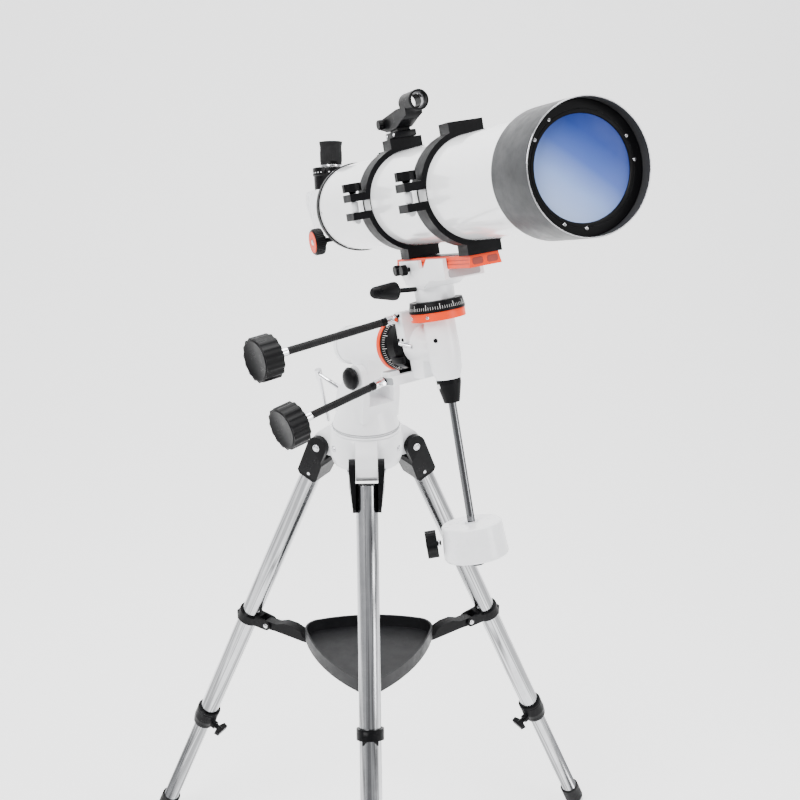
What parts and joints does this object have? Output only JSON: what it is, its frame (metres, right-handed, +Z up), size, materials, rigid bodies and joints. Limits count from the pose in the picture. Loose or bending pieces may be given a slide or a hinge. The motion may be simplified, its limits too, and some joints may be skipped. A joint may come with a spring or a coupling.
{
  "type": "refractor telescope on tripod",
  "caption": "Refractor telescope with dew shield, tube rings, mirror diagonal and red-dot finder on a German equatorial mount with counterweight and a folding steel tripod with tray.",
  "frame": {"origin": "on the floor under the centre of the bounding box", "axes": "+Z up, the front leg points along -Y and the tube looks towards -Y, +X and up"},
  "size_m": [0.8914, 0.922, 1.5879],
  "materials": {
    "black_casting": "satin",
    "black_plastic": "satin",
    "chrome": "polished",
    "coated_glass": "polished",
    "leg_steel": "polished",
    "orange_anodised": "satin",
    "rubber": "matte",
    "shield_gloss": "gloss",
    "tray_plastic": "satin",
    "tube_enamel": "gloss",
    "weight_enamel": "satin",
    "white_enamel": "satin",
    "white_plastic": "satin"
  },
  "bodies": {
    "hub": {"tripod_hub": "white_enamel"},
    "leg_front": {"leg_clevis_front": "black_plastic", "leg_tube_front": "leg_steel", "leg_collar_front": "black_plastic", "brace_clamp_front": "black_plastic"},
    "leg_right": {"leg_clevis_right": "black_plastic", "leg_tube_right": "leg_steel", "leg_collar_right": "black_plastic", "brace_clamp_right": "black_plastic"},
    "leg_left": {"leg_clevis_left": "black_plastic", "leg_tube_left": "leg_steel", "leg_collar_left": "black_plastic", "brace_clamp_left": "black_plastic"},
    "leg_lock_front": {"leg_lock_knob_front": "black_plastic"},
    "leg_lock_right": {"leg_lock_knob_right": "black_plastic"},
    "leg_lock_left": {"leg_lock_knob_left": "black_plastic"},
    "lower_leg_front": {"leg_lower_front": "leg_steel"},
    "lower_leg_right": {"leg_lower_right": "leg_steel"},
    "lower_leg_left": {"leg_lower_left": "leg_steel"},
    "brace_front": {"brace_arm_front": "black_plastic"},
    "brace_right": {"brace_arm_right": "black_plastic"},
    "brace_left": {"brace_arm_left": "black_plastic"},
    "tray": {"accessory_tray": "tray_plastic"},
    "azimuth": {"azimuth_base": "white_enamel"},
    "latitude_knob": {"latitude_knob": "black_plastic"},
    "latitude_bolt": {"latitude_bolt": "chrome"},
    "polar": {"polar_housing": "white_enamel", "polar_cap": "white_enamel", "ra_ring": "orange_anodised"},
    "ra_circle": {"ra_circle": "black_casting"},
    "ra_clamp": {"ra_clamp": "black_plastic"},
    "ra_body": {"dec_housing": "white_enamel", "dec_ring": "orange_anodised", "weight_bar_collar": "black_casting", "weight_bar": "chrome"},
    "ra_control": {"ra_control": "black_plastic"},
    "dec_control": {"dec_control": "black_plastic"},
    "dec_circle": {"dec_circle": "black_casting"},
    "dec_body": {"saddle": "white_enamel"},
    "dec_lock": {"dec_lock": "black_plastic"},
    "weight": {"counterweight": "weight_enamel"},
    "weight_knob": {"weight_knob": "black_plastic"},
    "carrier": {"dovetail_bar": "orange_anodised", "ring_front_lower": "black_casting", "ring_front_upper": "black_casting", "ring_rear_lower": "black_casting", "ring_rear_upper": "black_casting", "red_dot_finder": "black_plastic"},
    "ring_knob_front": {"ring_knob_front": "black_plastic"},
    "ring_knob_rear": {"ring_knob_rear": "black_plastic"},
    "optics": {"main_tube": "tube_enamel", "dew_shield": "shield_gloss", "objective_cell": "black_casting", "objective_lens": "coated_glass", "rear_cell": "black_casting", "focuser_body": "black_casting"},
    "focus_knob": {"focus_knob": "black_plastic"},
    "drawtube": {"drawtube": "chrome"},
    "diagonal": {"diagonal": "white_plastic"},
    "eyepiece": {"eyepiece": "rubber"}
  },
  "joints": [
    {"name": "fold_front", "type": "hinge", "parent": "hub", "child": "leg_front", "pos_m": [0, 0.0637, 0.92646], "axis": [1, 0, 0], "range_deg": [0, 8]},
    {"name": "fold_right", "type": "hinge", "parent": "hub", "child": "leg_right", "pos_m": [0.07015, 0.1852, 0.92646], "axis": [-0.5, 0.866, 0], "range_deg": [0, 8]},
    {"name": "fold_left", "type": "hinge", "parent": "hub", "child": "leg_left", "pos_m": [-0.07015, 0.1852, 0.92646], "axis": [-0.5, -0.866, 0], "range_deg": [0, 8]},
    {"name": "brace_pin_front", "type": "hinge", "parent": "leg_front", "child": "brace_front", "pos_m": [0, -0.06764, 0.5381], "axis": [1, 0, 0], "range_deg": [0, 37.6]},
    {"name": "brace_pin_right", "type": "hinge", "parent": "leg_right", "child": "brace_right", "pos_m": [0.18389, 0.25087, 0.5381], "axis": [-0.5, 0.866, 0], "range_deg": [0, 37.6]},
    {"name": "brace_pin_left", "type": "hinge", "parent": "leg_left", "child": "brace_left", "pos_m": [-0.18389, 0.25087, 0.5381], "axis": [-0.5, -0.866, 0], "range_deg": [0, 37.6]},
    {"name": "tray_rise", "type": "slide", "parent": "hub", "child": "tray", "axis": [0, 0, 1], "range_m": [0, 0.1172]},
    {"name": "leg_slide_front", "type": "slide", "parent": "leg_front", "child": "lower_leg_front", "axis": [0, -0.4147, -0.91], "range_m": [-0.225, 0.1]},
    {"name": "leg_slide_right", "type": "slide", "parent": "leg_right", "child": "lower_leg_right", "axis": [0.3591, 0.2073, -0.91], "range_m": [-0.225, 0.1]},
    {"name": "leg_slide_left", "type": "slide", "parent": "leg_left", "child": "lower_leg_left", "axis": [-0.3591, 0.2073, -0.91], "range_m": [-0.225, 0.1]},
    {"name": "leg_lock_turn_front", "type": "hinge", "parent": "leg_front", "child": "leg_lock_front", "pos_m": [0, -0.20581, 0.26683], "axis": [0, 0.91, -0.4147], "range_deg": [0, 360]},
    {"name": "leg_lock_turn_right", "type": "hinge", "parent": "leg_right", "child": "leg_lock_right", "pos_m": [0.30355, 0.31995, 0.26683], "axis": [-0.788, -0.455, -0.4147], "range_deg": [0, 360]},
    {"name": "leg_lock_turn_left", "type": "hinge", "parent": "leg_left", "child": "leg_lock_left", "pos_m": [-0.30355, 0.31995, 0.26683], "axis": [0.788, -0.455, -0.4147], "range_deg": [0, 360]},
    {"name": "azimuth_turn", "type": "hinge", "parent": "hub", "child": "azimuth", "pos_m": [0, 0.1447, 0.92646], "axis": [0, 0, 1], "continuous": true},
    {"name": "latitude_tilt", "type": "hinge", "parent": "azimuth", "child": "polar", "pos_m": [0.01373, 0.12502, 1.07246], "axis": [-0.8202, -0.5721, 0], "range_deg": [-10, 20]},
    {"name": "latitude_knob_turn", "type": "hinge", "parent": "azimuth", "child": "latitude_knob", "pos_m": [-0.01604, 0.10425, 1.07246], "axis": [-0.8202, -0.5721, 0], "range_deg": [0, 360]},
    {"name": "latitude_bolt_turn", "type": "hinge", "parent": "azimuth", "child": "latitude_bolt", "pos_m": [-0.03833, 0.19965, 1.01546], "axis": [-0.5692, 0.8159, 0.1022], "continuous": true},
    {"name": "ra_turn", "type": "hinge", "parent": "polar", "child": "ra_body", "pos_m": [0.11578, -0.02127, 1.17058], "axis": [0.5513, -0.7903, 0.2672], "range_deg": [-90, 90]},
    {"name": "ra_circle_turn", "type": "hinge", "parent": "polar", "child": "ra_circle", "pos_m": [0.11578, -0.02127, 1.17058], "axis": [0.5513, -0.7903, 0.2672], "continuous": true},
    {"name": "ra_clamp_turn", "type": "hinge", "parent": "ra_body", "child": "ra_clamp", "pos_m": [0.11578, -0.02127, 1.17058], "axis": [0.5513, -0.7903, 0.2672], "range_deg": [-15, 15]},
    {"name": "ra_control_turn", "type": "hinge", "parent": "ra_body", "child": "ra_control", "pos_m": [0.02881, -0.00496, 1.10637], "axis": [-0.7844, -0.6002, -0.1567], "continuous": true},
    {"name": "dec_turn", "type": "hinge", "parent": "ra_body", "child": "dec_body", "pos_m": [0.11578, -0.02127, 1.17058], "axis": [-0.1529, 0.2192, 0.9636], "continuous": true},
    {"name": "dec_circle_turn", "type": "hinge", "parent": "ra_body", "child": "dec_circle", "pos_m": [0.11578, -0.02127, 1.17058], "axis": [-0.1529, 0.2192, 0.9636], "continuous": true},
    {"name": "dec_control_turn", "type": "hinge", "parent": "ra_body", "child": "dec_control", "pos_m": [0.04715, 0.00929, 1.20048], "axis": [-0.8102, -0.5836, -0.0544], "continuous": true},
    {"name": "dec_lock_turn", "type": "hinge", "parent": "dec_body", "child": "dec_lock", "pos_m": [0.07551, -0.02092, 1.25469], "axis": [-0.8313, -0.5475, 0.0959], "range_deg": [-60, 60]},
    {"name": "weight_slide", "type": "slide", "parent": "ra_body", "child": "weight", "axis": [-0.1529, 0.2192, 0.9636], "range_m": [-0.007, 0.185]},
    {"name": "weight_knob_turn", "type": "hinge", "parent": "weight", "child": "weight_knob", "pos_m": [0.11203, -0.08799, 0.87332], "axis": [-0.9881, -0.0171, -0.1529], "range_deg": [0, 360]},
    {"name": "bar_slide", "type": "slide", "parent": "dec_body", "child": "carrier", "axis": [0.3382, -0.9046, 0.2594], "range_m": [-0.06, 0.06]},
    {"name": "ring_knob_turn_front", "type": "hinge", "parent": "carrier", "child": "ring_knob_front", "pos_m": [0.0601, -0.17036, 1.42292], "axis": [-0.1529, 0.2192, 0.9636], "range_deg": [0, 360]},
    {"name": "ring_knob_turn_rear", "type": "hinge", "parent": "carrier", "child": "ring_knob_rear", "pos_m": [-0.01176, 0.02188, 1.3678], "axis": [-0.1529, 0.2192, 0.9636], "range_deg": [0, 360]},
    {"name": "tube_turn", "type": "hinge", "parent": "carrier", "child": "optics", "pos_m": [0.0823, 0.02673, 1.38162], "axis": [0.3382, -0.9046, 0.2594], "continuous": true},
    {"name": "focus_slide", "type": "slide", "parent": "optics", "child": "drawtube", "axis": [-0.3382, 0.9046, -0.2594], "range_m": [0, 0.04]},
    {"name": "focus_knob_turn", "type": "hinge", "parent": "optics", "child": "focus_knob", "pos_m": [-0.02328, 0.31789, 1.2509], "axis": [-0.9286, -0.3655, -0.0642], "range_deg": [-288, 0]},
    {"name": "diagonal_turn", "type": "hinge", "parent": "drawtube", "child": "diagonal", "pos_m": [0.0823, 0.02673, 1.38162], "axis": [0.3382, -0.9046, 0.2594], "continuous": true},
    {"name": "eyepiece_slide", "type": "slide", "parent": "diagonal", "child": "eyepiece", "axis": [-0.0058, 0.2737, 0.9618], "range_m": [0, 0.03]}
  ],
  "couplings": [
    {"joint": "fold_right", "follows": "fold_front", "ratio": 1},
    {"joint": "fold_left", "follows": "fold_front", "ratio": 1},
    {"joint": "brace_pin_front", "follows": "fold_front", "ratio": 4.698},
    {"joint": "brace_pin_right", "follows": "fold_front", "ratio": 4.698},
    {"joint": "brace_pin_left", "follows": "fold_front", "ratio": 4.698},
    {"joint": "tray_rise", "follows": "fold_front", "m_per_rad": 0.8392},
    {"joint": "focus_knob_turn", "follows": "focus_slide", "rad_per_m": -125}
  ]
}
